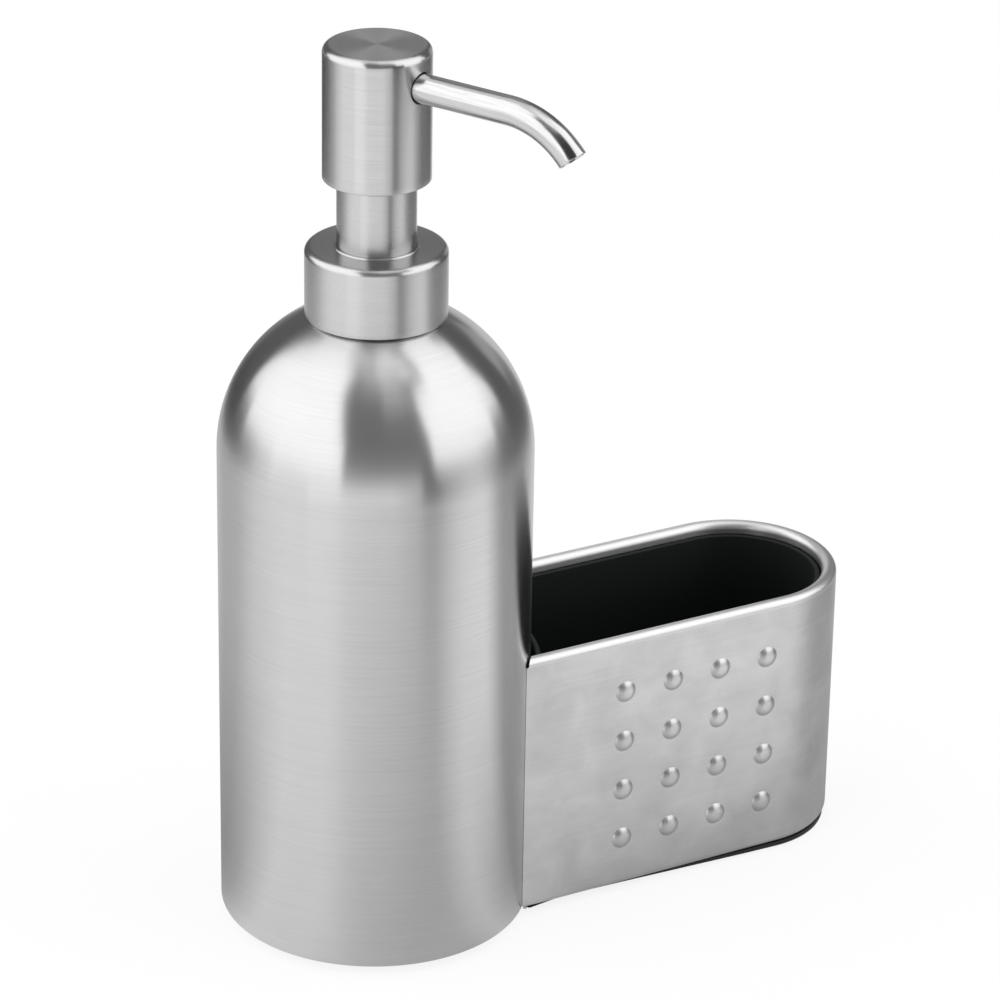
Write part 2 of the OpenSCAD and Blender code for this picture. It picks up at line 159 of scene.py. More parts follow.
def arc(x, y, radius, start, end, steps):
    """Points of an arc, with its angles in degrees."""
    return [
        (x + radius * math.cos(math.radians(a)), y + radius * math.sin(math.radians(a)))
        for a in np.linspace(start, end, steps + 1)
    ]


def outline(*pieces):
    """Joins points and arcs to one outline and drops repeated points."""
    points = []
    for piece in pieces:
        for point in (piece if isinstance(piece, list) else [piece]):
            if not points or math.dist(point, points[-1]) > 1e-4:
                points.append(point)
    if math.dist(points[0], points[-1]) < 1e-4:
        points.pop()
    return points


def lengths(points, closed=True):
    """Distance run along an outline at each of its points, and back at its start."""
    ring = points + points[:1] if closed else points
    run = [0.0]
    for a, b in zip(ring, ring[1:]):
        run.append(run[-1] + math.dist(a, b))
    return run


def turned(skin, profile, angles, part_of=None, skip=()):
    """Revolves a closed profile of (radius, height) round the pump's axis and returns its rows of points."""
    run = lengths(profile)
    rows = []
    for radius, height in profile:
        if radius < 1e-6:
            rows.append([skin.point(0, 0, height)] * len(angles))
        else:
            rows.append([skin.point(radius * math.cos(a), radius * math.sin(a), height) for a in angles])
    girth = max(radius for radius, _ in profile)
    for row in range(len(profile)):
        up = (row + 1) % len(profile)
        part = part_of(profile[row], profile[up]) if part_of else 0
        for column, start in enumerate(angles):
            if (row, column) in skip:
                continue
            side = (column + 1) % len(angles)
            end = angles[side] if side else angles[0] + TAU
            skin.face(
                [rows[row][column], rows[row][side], rows[up][side], rows[up][column]],
                [(start * girth, run[row]), (end * girth, run[row]),
                 (end * girth, run[row + 1]), (start * girth, run[row + 1])],
                part,
            )
    return rows


def even_angles(steps):
    """Angles at even steps of one turn, without the last."""
    return [TAU * k / steps for k in range(steps)]


def square_walk(steps):
    """Steps once round the edge of a square grid, as (column, row)."""
    walk = [(a, 0) for a in range(steps)] + [(steps, b) for b in range(steps)]
    return walk + [(a, steps) for a in range(steps, 0, -1)] + [(0, b) for b in range(steps, 0, -1)]


def patch(skin, edge, places, spread, brush, middle=None):
    """Fills the square hole inside a ring of grid points with rings that run round a centre.

    edge holds (point, p, q) in order round the square. places gives a point for (p, q), and spread
    lists the ring radii from the square inwards. middle is the centre point, or None for a hole."""
    angles = [math.atan2(q, p) for _, p, q in edge]
    outer = [(point, p, q) for point, p, q in edge]
    for radius in spread:
        ring = []
        for angle in angles:
            p, q = radius * math.cos(angle), radius * math.sin(angle)
            ring.append((skin.point(*places(p, q)), p, q))
        for k in range(len(ring)):
            n = (k + 1) % len(ring)
            corners = [outer[k], outer[n], ring[n], ring[k]]
            skin.face([c[0] for c in corners], [brush(c[1], c[2]) for c in corners])
        outer = ring
    if middle is not None:
        centre = skin.point(*middle)
        for k in range(len(outer)):
            n = (k + 1) % len(outer)
            corners = [outer[k], outer[n], (centre, 0, 0)]
            skin.face([c[0] for c in corners], [brush(c[1], c[2]) for c in corners])
    return [c[0] for c in outer]


def lofted(skin, loops):
    """Joins closed loops of points, each with as many points, and closes both ends."""
    rows = [[skin.point(*p) for p in loop] for loop in loops]
    count = len(loops[0])
    climb = [0.0]
    for a, b in zip(loops, loops[1:]):
        climb.append(climb[-1] + max(0.01, np.median([math.dist(p, q) for p, q in zip(a, b)])))
    around = [lengths(loop) for loop in loops]
    for row in range(len(loops) - 1):
        for k in range(count):
            n = (k + 1) % count
            skin.face(
                [rows[row][k], rows[row][n], rows[row + 1][n], rows[row + 1][k]],
                [(around[row][k], climb[row]), (around[row][k + 1], climb[row]),
                 (around[row + 1][k + 1], climb[row + 1]), (around[row + 1][k], climb[row + 1])],
            )
    for row, order in ((0, -1), (len(loops) - 1, 1)):
        skin.face(rows[row][::order], [point[:2] for point in loops[row]][::order])


def helix(skin, path, angles, sides, section):
    """Sweeps a section along a path that winds round the pump's axis at these angles, and closes its ends.

    section gives each corner at each point of the path as (distance outwards, distance upwards)."""
    rows = []
    run = lengths(path, closed=False)
    upwards = np.array((0, 0, 1))
    for k, centre in enumerate(path):
        outwards = np.array((math.cos(angles[k]), math.sin(angles[k]), 0))
        corners = (section(k, s) for s in range(sides))
        rows.append([skin.point(*(np.array(centre) + du * outwards + dv * upwards)) for du, dv in corners])
    for k in range(len(path) - 1):
        for s in range(sides):
            n = (s + 1) % sides
            skin.face(
                [rows[k][s], rows[k][n], rows[k + 1][n], rows[k + 1][s]],
                [(run[k], s), (run[k], s + 1), (run[k + 1], s + 1), (run[k + 1], s)],
            )
    skin.face(rows[0][::-1], [(0, s) for s in range(sides)])
    skin.face(rows[-1], [(0, s) for s in range(sides)])


# Materials

def brushed_steel(name, colour, roughness, anisotropy, line_mm, run_mm, contrast, mottle=0.0):
    """Stainless steel, brushed with a belt. Fine parallel scratches stretch every highlight across them."""
    material, tree, out = new_material(name)
    place = add(tree, "ShaderNodeTexCoord")
    brush = add(tree, "ShaderNodeUVMap", uv_map="Brush")
    xyz = add(tree, "ShaderNodeSeparateXYZ", links={"Vector": place.outputs["Object"]})
    across = add(tree, "ShaderNodeSeparateXYZ", links={"Vector": brush.outputs["UV"]})
    # one scratch is line_mm wide and run_mm long
    lay = add(tree, "ShaderNodeCombineXYZ",
              links={"X": xyz.outputs["X"], "Y": xyz.outputs["Y"], "Z": across.outputs["Y"]})
    along, across_lines = 1 / (run_mm * MM), 1 / (line_mm * MM)
    stretch = add(tree, "ShaderNodeVectorMath", {1: (along, along, across_lines)}, {0: lay.outputs["Vector"]},
                  operation="MULTIPLY")
    fine = add(tree, "ShaderNodeTexNoise", {"Scale": 1.0, "Detail": 4.0, "Roughness": 0.65},
               {"Vector": stretch.outputs["Vector"]})
    # faint bands, ten scratches wide, where the belt was pressed harder
    wide = add(tree, "ShaderNodeVectorMath", {1: (0.35, 0.35, 0.1)}, {0: stretch.outputs["Vector"]},
               operation="MULTIPLY")
    bands = add(tree, "ShaderNodeTexNoise", {"Scale": 1.0, "Detail": 2.0, "Roughness": 0.5},
                {"Vector": wide.outputs["Vector"]})
    both = add(tree, "ShaderNodeMath", {1: 0.3}, {0: bands.outputs["Fac"], 2: fine.outputs["Fac"]},
               operation="MULTIPLY_ADD")
    tone = both.outputs["Value"]
    if mottle:
        # soft clouds, 12 mm across, of handling and rolling marks in the sheet
        clouds = add(tree, "ShaderNodeTexNoise", {"Scale": 1 / (12 * MM), "Detail": 3.0, "Roughness": 0.55,
                                                  "Distortion": 0.4}, {"Vector": place.outputs["Object"]})
        more = add(tree, "ShaderNodeMath", {1: mottle}, {0: clouds.outputs["Fac"]}, operation="MULTIPLY")
        total = add(tree, "ShaderNodeMath", links={0: tone, 1: more.outputs["Value"]}, operation="ADD")
        tone = total.outputs["Value"]
    # the middle of the summed noises, and the reach to either side that turns into dark and light steel
    mid = 0.65 + 0.5 * mottle
    half = 0.35 + 0.25 * mottle
    shade = add(tree, "ShaderNodeMapRange", {"From Min": mid - half, "From Max": mid + half,
                                             "To Min": 0.0, "To Max": 1.0}, {"Value": tone})
    dark = [c * (1 - contrast) for c in colour[:3]] + [1.0]
    light = [min(1.0, c * (1 + contrast)) for c in colour[:3]] + [1.0]
    mix = add(tree, "ShaderNodeMix", links={0: shade.outputs["Result"]}, data_type="RGBA")
    mix.inputs[6].default_value, mix.inputs[7].default_value = dark, light
    rough = add(tree, "ShaderNodeMapRange", {"From Min": 0.2, "From Max": 0.8, "To Min": roughness + 0.015,
                                             "To Max": roughness - 0.015}, {"Value": fine.outputs["Fac"]})
    relief = add(tree, "ShaderNodeBump", {"Strength": 0.025, "Distance": 0.00003},
                 {"Height": fine.outputs["Fac"]})
    grain = add(tree, "ShaderNodeTangent", direction_type="UV_MAP", uv_map="Brush")
    shader = add(tree, "ShaderNodeBsdfPrincipled",
                 {"Metallic": 1.0, "Anisotropic": anisotropy, "Anisotropic Rotation": 0.25},
                 {"Base Color": mix.outputs[2], "Roughness": rough.outputs["Result"],
                  "Normal": relief.outputs["Normal"], "Tangent": grain.outputs["Tangent"]})
    tree.links.new(shader.outputs["BSDF"], out.inputs["Surface"])
    return material


def plain_steel(name, colour, roughness, grain_mm, spread):
    """Stainless steel that was pressed, drawn or polished. Faint clouds break up its reflections."""
    material, tree, out = new_material(name)
    place = add(tree, "ShaderNodeTexCoord")
    grain = add(tree, "ShaderNodeTexNoise", {"Scale": 1 / (grain_mm * MM), "Detail": 3.0, "Roughness": 0.6},
                {"Vector": place.outputs["Object"]})
    rough = add(tree, "ShaderNodeMapRange", {"From Min": 0.3, "From Max": 0.7, "To Min": roughness - spread,
                                             "To Max": roughness + spread}, {"Value": grain.outputs["Fac"]})
    relief = add(tree, "ShaderNodeBump", {"Strength": 0.05, "Distance": 0.00002},
                 {"Height": grain.outputs["Fac"]})
    shader = add(tree, "ShaderNodeBsdfPrincipled", {"Base Color": colour, "Metallic": 1.0},
                 {"Roughness": rough.outputs["Result"], "Normal": relief.outputs["Normal"]})
    tree.links.new(shader.outputs["BSDF"], out.inputs["Surface"])
    return material


def moulded_plastic(name, colour, roughness, grain_mm, depth_mm, ior=1.5, through=0.0):
    """Injection-moulded plastic with the fine spark-eroded grain of its mould."""
    material, tree, out = new_material(name)
    place = add(tree, "ShaderNodeTexCoord")
    grain = add(tree, "ShaderNodeTexNoise", {"Scale": 1 / (grain_mm * MM), "Detail": 4.0, "Roughness": 0.6},
                {"Vector": place.outputs["Object"]})
    clouds = add(tree, "ShaderNodeTexNoise", {"Scale": 1 / (9 * MM), "Detail": 2.0},
                 {"Vector": place.outputs["Object"]})
    rough = add(tree, "ShaderNodeMapRange", {"From Min": 0.3, "From Max": 0.7, "To Min": roughness - 0.05,
                                             "To Max": roughness + 0.05}, {"Value": grain.outputs["Fac"]})
    mix = add(tree, "ShaderNodeMix", links={0: clouds.outputs["Fac"]}, data_type="RGBA")
    mix.inputs[6].default_value = [c * 0.9 for c in colour[:3]] + [1.0]
    mix.inputs[7].default_value = [min(1.0, c * 1.1) for c in colour[:3]] + [1.0]
    relief = add(tree, "ShaderNodeBump", {"Strength": 0.4, "Distance": depth_mm * MM},
                 {"Height": grain.outputs["Fac"]})
    shader = add(tree, "ShaderNodeBsdfPrincipled", {"IOR": ior, "Subsurface Weight": through,
                                                    "Subsurface Scale": 0.002},
                 {"Base Color": mix.outputs[2], "Roughness": rough.outputs["Result"],
                  "Normal": relief.outputs["Normal"]})
    tree.links.new(shader.outputs["BSDF"], out.inputs["Surface"])
    return material


def shared(name, make, *values, **named):
    """One material for every piece that has the same finish."""
    return bpy.data.materials.get(name) or make(name, *values, **named)


def steel_inside():
    """Drawn and pressed steel that was never brushed: plain grey, with dull even reflections."""
    return shared("pressed_stainless_steel", plain_steel, linear("bdbdbc"), 0.34, grain_mm=3.0, spread=0.05)


def finish_node(node, material):
    """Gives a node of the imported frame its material."""
    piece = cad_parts[node]
    piece.data.materials.clear()
    piece.data.materials.append(material)


# Settings

class BottleSettings(bpy.types.PropertyGroup):
    radius: size_property("Radius", "Outer radius of the steel bottle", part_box("bottle_shell")[1].x)
    shoulder: size_property("Shoulder height", "Height at which the dome starts", 0.1202)
    wall: size_property("Wall", "Thickness of the drawn steel", 0.0008)
    colour: colour_property("Steel", "Colour of the bottle's brushed steel", "cacaca")
    gloss: roughness_property("Roughness of the brushed steel", 0.245)


class CaddySettings(bpy.types.PropertyGroup):
    half_width: size_property("Half width", "Half the outer width of the sponge caddy",
                              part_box("caddy_shell")[1].y - 0.001)
    dot_height: size_property("Dot height", "Height of the embossed dots", 0.001)
    colour: colour_property("Steel", "Colour of the caddy's brushed wall", "cecece")
    liner_colour: colour_property("Liner", "Colour of the lift-out liner", "091110")
    sole_colour: colour_property("Sole", "Colour of the moulded base", "191a1a")
    gloss: roughness_property("Roughness of the brushed wall", 0.36)


class PumpSettings(bpy.types.PropertyGroup):
    thread_pitch: size_property("Thread pitch", "Pitch of the screw thread on the neck", 0.004267)
    thread_depth: size_property("Thread depth", "Depth of the screw thread", 0.0006)


class FinishSettings(bpy.types.PropertyGroup):
    steel: colour_property("Pump steel", "Colour of the brushed steel on collar, sleeve and head", "c8c8c8")
    black: colour_property("Black plastic", "Colour of the screw cap and the core of the head", "1e1f1f")
    white: colour_property("White plastic", "Colour of the pump's cylinder and stem", "e4e4df")


class StudioSettings(bpy.types.PropertyGroup):
    room: bpy.props.FloatProperty(name="Room light", description="Strength of the even light from all round",
                                  default=0.5, min=0.0, max=4.0)
    softbox: bpy.props.FloatProperty(name="Softbox", description="Strength of the softboxes",
                                     default=1.6, min=0.0, max=8.0)


# Bottle

def bottle_outline(s):
    """Closed profile of the drawn wall: rolled hem, straight wall, half-round dome and neck hole."""
    r, wall, top = s.radius / MM, s.wall / MM, s.shoulder / MM
    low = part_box("bottle_shell")[0].z / MM
    hole, edge, hem = 13.25, 1.5, 3.5
    inner = r - wall
    out_end = math.degrees(math.acos(hole / r))
    in_end = math.degrees(math.acos(hole / inner))
    return outline(
        (r - hem, low),
        arc(r - edge, low + edge, edge, -90, 0, 8),
        [(r, z) for z in np.linspace(low + edge, top, 20)],
        arc(0, top, r, 0, out_end, 60),
        arc(0, top, inner, in_end, 0, 36),
        [(inner, z) for z in np.linspace(top, low + edge, 8)],
        arc(inner - edge + wall, low + edge, edge - wall, 0, -90, 5),
        (r - hem, low + wall),
    )


class SOAPCADDY_OT_bottle(bpy.types.Operator):
    """Builds the drawn steel bottle and finishes its floor, foot pad and neck"""
    bl_idname = "soapcaddy.bottle"
    bl_label = "Bottle"

    def execute(self, context):
        s = context.scene.soap_bottle
        skin = Skin()
        turned(skin, bottle_outline(s), even_angles(224))
        # long soft highlights down the wall, crossed by faint scratches that run round it
        steel = shared("belt_brushed_stainless_steel_bottle", brushed_steel, opaque(s.colour), s.gloss,
                       anisotropy=0.86, line_mm=0.32, run_mm=30, contrast=0.06, mottle=0.5)
        skin.piece("bottle_body", "bottle", "bottle_steel", [steel], ["bottle_shell"])
        finish_node("bottle_base", steel_inside())
        finish_node("neck_ring", steel_inside())
        # natural rubber pad, matt and slightly grey with handling
        rubber = shared("matt_black_rubber", moulded_plastic, linear("1d1d1d"), 0.75,
                        grain_mm=0.5, depth_mm=0.02, ior=1.52)
        finish_node("foot_pad", rubber)
        return {"FINISHED"}


# Caddy

# the straight walls run from START to END, where the round end begins
CADDY_START, CADDY_END = 33.5, 100.5
CADDY_LOW, CADDY_TOP = 1.6, 68.9
RIM_R, SHEET, CORNER = 1.8, 0.8, 2.0
# distances from the bottle's axis at which the wall and its rim meet the bottle
WALL_SEAT, RIM_SEAT = 37.05, 37.5
# spacing of the wall's grid away from the dots, half the side of a dot's square, and the steps across it
GRID, CELL, CELL_STEPS = 2.2, 3.8, 8
DOT_X = [54.9, 68.2, 81.5, 94.8]
DOT_Z = [14.7, 28.0, 41.3, 54.6]
# radii of a dot's foot on the outer and the inner face, of all it bends, and of the rings of points round it
DOT_FOOT, DOT_FOOT_INSIDE = 2.7, 2.385
DOT_REACH = 3.6
DOT_RINGS = (3.5, 3.2, 3.02, 2.9, 2.8, 2.7, 2.6, 2.45, 2.2, 1.85, 1.4, 0.95, 0.48)


def cell_lines(centres, start, end, step):
    """Grid lines about a step apart from start to end, with even divisions across every dot's square."""
    lines = [start]

    def fill(up_to):
        gap = up_to - lines[-1]
        parts = max(1, round(gap / step))
        lines.extend([lines[-1] + gap * (k + 1) / parts for k in range(parts)])

    for centre in centres:
        fill(centre - CELL)
        lines.extend([centre - CELL + 2 * CELL * (k + 1) / CELL_STEPS for k in range(CELL_STEPS)])
    fill(end)
    return lines


def caddy_section():
    """Closed section of the caddy's sheet, as (offset from the outer face, height)."""
    wall_low, wall_top = CADDY_LOW + CORNER, CADDY_TOP - RIM_R
    rows = cell_lines(DOT_Z, wall_low, wall_top, GRID)
    # the rolled rim comes down this far inside the wall, and its cut edge is eased
    lip, ease = 1.2, 0.15
    return outline(
        (-6.0, CADDY_LOW),
        (-4.0, CADDY_LOW),
        arc(-CORNER, wall_low, CORNER, -90, 0, 10),
        [(0.0, z) for z in rows],
        arc(-RIM_R, wall_top, RIM_R, 0, 180, 24),
        (-2 * RIM_R, wall_top - lip + ease),
        (-2 * RIM_R + ease, wall_top - lip),
        (-2 * RIM_R + SHEET - ease, wall_top - lip),
        (-2 * RIM_R + SHEET, wall_top - lip + ease),
        arc(-RIM_R, wall_top, RIM_R - SHEET, 180, 0, 10),
        [(-SHEET, z) for z in rows[::-1]],
        arc(-CORNER, wall_low, CORNER - SHEET, 0, -90, 5),
        (-6.0, CADDY_LOW + SHEET),
    )


def caddy_place(half, along, offset, height):
    """A point of the caddy: along is (side, x) on a straight wall, or ("end", degrees) on the round end."""
    kind, value = along
    reach = half + offset
    if kind == "end":
        a = math.radians(value)
        return CADDY_END + reach * math.cos(a), reach * math.sin(a), height
    if value is None:
        seat = RIM_SEAT if height > CADDY_TOP - RIM_R else WALL_SEAT
        value = math.sqrt(seat ** 2 - reach ** 2)
    return value, kind * reach, height


def dome(radius, foot, height):
    """Height of a pressed dot at a distance from its middle: a flat crown, and a soft crease at its foot."""
    fullness, softness = 3.4, 0.003
    crease_depth, crease_radius, crease_width = 0.04, 2.8, 0.4
    rise = height * (1 - (radius / foot) ** fullness)
    crease = crease_depth * math.exp(-((radius - crease_radius) / crease_width) ** 2)
    return 0.5 * (rise + math.sqrt(rise * rise + softness)) - crease


class SOAPCADDY_OT_caddy(bpy.types.Operator):
    """Builds the bent steel wall of the sponge caddy with its rolled rim and embossed dots"""
    bl_idname = "soapcaddy.caddy"
    bl_label = "Caddy wall"

    def execute(self, context):
        s = context.scene.soap_caddy
        half = s.half_width / MM
        section = caddy_section()
        xs = cell_lines(DOT_X, CADDY_START, CADDY_END, GRID)
        path = [(-1, None)] + [(-1, x) for x in xs]
        path += [("end", a) for a in np.linspace(-90, 90, 65)][1:-1]
        path += [(1, x) for x in xs[::-1]] + [(1, None)]
        skin = Skin()
        ids = [[skin.point(*caddy_place(half, at, n, z)) for n, z in section] for at in path]
        middle = [caddy_place(half, at, 0.0, 30.0) for at in path]
        u = lengths(middle, closed=False)
        v = lengths(section)
        # squares left open for the dots, on the outer and the inner face
        squares, skip = [], set()
        for side in (-1, 1):
            for x in DOT_X:
                first = next(k for k, at in enumerate(path)
                             if at[0] == side and at[1] is not None and abs(at[1] - (x + side * CELL)) < 1e-6)
                for z in DOT_Z:
                    for offset in (0.0, -SHEET):
                        # the section runs up the outer face and down the inner one
                        edge_z = z + CELL if offset < 0 else z - CELL
                        row = next(j for j, (n, h) in enumerate(section)
                                   if abs(n - offset) < 1e-6 and abs(h - edge_z) < 1e-6)
                        squares.append((side, x, z, offset, first, row))
                        skip |= {(first + a, row + b) for a in range(CELL_STEPS) for b in range(CELL_STEPS)}
        for k in range(len(path) - 1):
            for j in range(len(section)):
                if (k, j) in skip:
                    continue
                n = (j + 1) % len(section)
                rim = section[j][1] >= CADDY_TOP - RIM_R - 1e-6 and section[n][1] >= CADDY_TOP - RIM_R - 1e-6
                inner = section[j][0] < -5 or section[n][0] < -5
                skin.face(
                    [ids[k][j], ids[k + 1][j], ids[k + 1][n], ids[k][n]],
                    [(u[k], v[j]), (u[k + 1], v[j]), (u[k + 1], v[j + 1]), (u[k], v[j + 1])],
                    1 if rim else 2 if inner else 0,
                )
        skin.face(ids[0], [(0, 0)] * len(section), 2)
        skin.face(ids[-1][::-1], [(0, 0)] * len(section), 2)
        for side, x, z, offset, first, row in squares:
            way = -side
            rise = -1 if offset < 0 else 1
            foot = DOT_FOOT if offset == 0 else DOT_FOOT_INSIDE

            def place(p, q, side=side, x=x, z=z, offset=offset, way=way, rise=rise, foot=foot):
                radius = math.hypot(p, q)
                lift = dome(radius, foot, s.dot_height / MM) if radius < DOT_REACH else 0.0
                return caddy_place(half, (side, x + way * p), offset + lift, z + rise * q)

            step = 2 * CELL / CELL_STEPS
            edge = [(ids[first + a][row + b], a * step - CELL, b * step - CELL)
                    for a, b in square_walk(CELL_STEPS)]
            uc, vc = u[first] + CELL, v[row] + CELL
            patch(skin, edge, place, DOT_RINGS, lambda p, q, uc=uc, vc=vc: (uc + p, vc + q), place(0, 0))
        # dull sheet with plain scratches and cloudy handling marks, then a smooth rolled rim whose lighter
        # steel colour is a painted highlight
        wall = shared("belt_brushed_stainless_steel_sheet", brushed_steel, opaque(s.colour), s.gloss,
                      anisotropy=0.7, line_mm=0.34, run_mm=30, contrast=0.18, mottle=2.2)
        # the wall's steel made lighter: a painted highlight along the rolled rim
        rim = shared("rolled_satin_steel_rim", brushed_steel, linear("dcdcdc"), 0.4,
                     anisotropy=0.4, line_mm=0.4, run_mm=25, contrast=0.03)
        skin.piece("caddy_wall", "bottle", "caddy_steel", [wall, rim, steel_inside()], ["caddy_shell"])
        self.flanges(half)
        self.base(half, s.sole_colour)
        return {"FINISHED"}

    def flanges(self, half):
        """Low welding flanges on the bottle, behind the liner."""
        skin = Skin()
        # distances of the flange's near face, middle and far face from the bottle's axis, and its width
        near, middle, far, width = 37.07, 37.45, 37.85, 8.6
        for side in (-1, 1):
            reach = [math.asin((half - 9 + t) / middle) for t in np.linspace(0, width, 10)]
            loops = []
            for height, ease in ((1.7, 0.0), (58.4, 0.0), (58.9, 0.15)):
                ring = [(r, a) for r, ds in ((near + ease, reach), (far - ease, reach[::-1])) for a in ds]
                loop = [(r * math.cos(a), side * r * math.sin(a), height) for r, a in ring]
                loops.append(loop if side < 0 else loop[::-1])
            lofted(skin, loops)
        skin.piece("caddy_flanges", "bottle", "inner_steel", [steel_inside()])

    def base(self, half, colour):
        """Moulded base: a thin sole that deepens towards the far end, and a plug inside the hem."""
        skin = Skin()

        def slope(x):
            # height of the sole's foot over the floor
            return max(0.0, (124.9 - x) * 0.01365)

        def tuck(x):
            # how much narrower the sole is than the wall, most of all near the bottle, where it is thin
            return 0.057 * max(0.0, min(1.0, (x - 33) / 5, (95 - x) / 45))

        def loop(inset, near, height=None, drop=0.0):
            return [(x, y * (1 - tuck(x)), height if height is not None else slope(x) + drop)
                    for x, y in pocket(half - inset, near, 0.8)]

        # the eased foot of the sole, its sides, and the plug with its eased top
        loops = [loop(0.95, 37.65, None, 0.0), loop(0.7, 37.4, None, 0.1), loop(0.6, 37.3, None, 0.35),
                 loop(0.6, 37.3, 1.6), loop(6.3, 38.15, 1.6), loop(6.3, 38.15, 3.4), loop(6.5, 38.35, 3.6)]
        lofted(skin, loops)
        # a dark line under the steel, with a weak dull shine
        base = shared("black_moulded_polypropylene", moulded_plastic, opaque(colour), 0.5,
                      grain_mm=0.4, depth_mm=0.015, ior=1.49)
        skin.piece("caddy_sole", "bottle", "base_plastic", [base], ["caddy_base"])


def pocket(half, near, corner):
    """Plan of a box that fits the caddy: concave towards the bottle, round at the far end."""
    h = half - corner
    cx = math.sqrt((near + corner) ** 2 - h ** 2)
    beta = math.degrees(math.atan2(h, cx))
    side = [(x, -half) for x in np.linspace(cx, CADDY_END, 9)]
    return outline(
        side,
        arc(CADDY_END, 0, half, -90, 90, 64),
        [(x, -y) for x, y in side[::-1]],
        arc(cx, h, corner, 90, 180 + beta, 8),
        arc(0, 0, near, beta, -beta, 28),
        arc(cx, -h, corner, 180 - beta, 270, 8),
    )


def quarter(start, end, count):
    """Sines and cosines at even steps between two angles in degrees."""
    angles = [math.radians(a) for a in np.linspace(start, end, count)]
    return [(math.sin(a), math.cos(a)) for a in angles]


class SOAPCADDY_OT_liner(bpy.types.Operator):
    """Builds the lift-out plastic liner"""
    bl_idname = "soapcaddy.liner"
    bl_label = "Liner"

    def execute(self, context):
        low, high = 3.9, 66.1
        floor = low + 1.6
        # distances of the outer and the inner face from the bottle's axis, and the radii of the edges
        near, inner_near = 38.25, 39.45
        foot, lip, corner = 3, 0.3, 1.8
        # up the outside, over the lip and down inside: half width, distance from the bottle's axis, height
        rows = [(17 + foot * s, near + 0.6 * (1 - s), low + foot * (1 - c)) for s, c in quarter(0, 90, 9)]
        rows += [(20 + t, near, low + foot + (high - low - foot) * t) for t in (0.25, 0.5, 0.75)]
        rows += [(21 - lip * (1 - c), near + lip * (1 - c), high - lip + lip * s)
                 for s, c in quarter(0, 90, 5)]
        rows += [(19.8 + lip * (1 - c), inner_near - lip * (1 - c), high - lip + lip * s)
                 for s, c in quarter(90, 0, 5)]
        rows += [(19.8 - t, inner_near, high + (floor + corner - high) * t) for t in (0.25, 0.5, 0.75)]
        rows += [(17 + corner * s, inner_near + corner * (1 - s), floor + corner * (1 - c))
                 for s, c in quarter(90, 0, 9)]
        skin = Skin()
        lofted(skin, [[(x, y, z) for x, y in pocket(half, distance, 1.2)] for half, distance, z in rows])
        # deep black with a broad, weak shine that lifts it a little along the walls
        black = opaque(context.scene.soap_caddy.liner_colour)
        inside = shared("black_moulded_ABS_liner", moulded_plastic, black, 0.66,
                        grain_mm=0.35, depth_mm=0.01, ior=1.4)
        skin.piece("liner_box", "liner", "liner_plastic", [inside], ["liner"], sharp=50)
        return {"FINISHED"}


# Collar, sleeve and head

HEAD_LOW, HEAD_TOP, HEAD_R, CAP_WALL = 187.25, 219.05, 12.5, 0.8
# height of the spout's axis, and its direction counted from the caddy's
SPOUT_Z, SPOUT_TURN = 211.25, math.radians(-64)


class SOAPCADDY_OT_collar(bpy.types.Operator):
    """Builds the steel collar and the sleeve that stands on it"""
    bl_idname = "soapcaddy.collar"
    bl_label = "Collar and sleeve"

    def execute(self, context):
        finish = context.scene.soap_finish
        low, top, r, hole, edge = 153.95, 170.75, 16.55, 9.25, 1.6
        steel, black = opaque(finish.steel), opaque(finish.black)
        skin = Skin()
        profile = outline(
            (r - CAP_WALL, low + 0.15), (r - CAP_WALL + 0.15, low),
            arc(r - 0.25, low + 0.25, 0.25, -90, 0, 4),
            [(r, z) for z in np.linspace(low + 0.25, top - edge, 12)],
            arc(r - edge, top - edge, edge, 0, 90, 14),
            [(x, top) for x in np.linspace(r - edge, hole + 0.75, 14)],
            arc(hole + 0.35, top, 0.35, 0, 180, 10),
            (hole, top - CAP_WALL),
            arc(r - edge, top - edge, edge - CAP_WALL, 90, 0, 6),
        )

        def face_part(a, b):
            """1 on the flat top face, 0 elsewhere."""
            return 1 if min(a[1], b[1]) > top - 0.05 and max(a[0], b[0]) > hole + 0.8 else 0

        turned(skin, profile, even_angles(160), part_of=face_part)
        # narrow upright highlights, and on the flat top rays that turn with the eye; the flat top's darker
        # steel colour is painted shade
        round_steel = shared("brushed_stainless_steel_collar", brushed_steel, steel, 0.28,
                             anisotropy=0.8, line_mm=0.3, run_mm=16, contrast=0.05)
        # a darker copy of the collar's steel: painted shade on the flat top
        shaded_top_steel = shared("turned_stainless_steel_face", brushed_steel, linear("b4b4b4"), 0.3,
                           anisotropy=0.75, line_mm=0.3, run_mm=20, contrast=0.06)
        skin.piece("collar_cover", "collar", "collar_steel", [round_steel, shaded_top_steel], ["collar_shell"])

        skin = Skin()
        r, bore, base, head = 9.2, 8.5, 169.25, 190.25
        profile = outline(
            (bore, base), (r + 2.3, base), (r + 2.3, base + 0.7),
            arc(r + 0.25, base + 0.95, 0.25, 270, 180, 4),
            [(r, z) for z in np.linspace(base + 0.95, head - 0.2, 16)],
            arc(r - 0.2, head - 0.2, 0.2, 0, 90, 4),
            arc(bore + 0.2, head - 0.2, 0.2, 90, 180, 4),
        )
        turned(skin, profile, even_angles(128))
        # as the collar, with hardly a scratch to be seen
        sleeve = shared("finely_brushed_stainless_steel_sleeve", brushed_steel, steel, 0.28,
                        anisotropy=0.8, line_mm=0.45, run_mm=14, contrast=0.015)
        skin.piece("sleeve_tube", "collar", "sleeve_steel", [sleeve], ["stem_sleeve"])
        # black with the fine even grain of its mould
        cap = shared("black_moulded_polypropylene_cap", moulded_plastic, black, 0.48,
                     grain_mm=0.3, depth_mm=0.01, ior=1.49)
        finish_node("closure", cap)
        return {"FINISHED"}


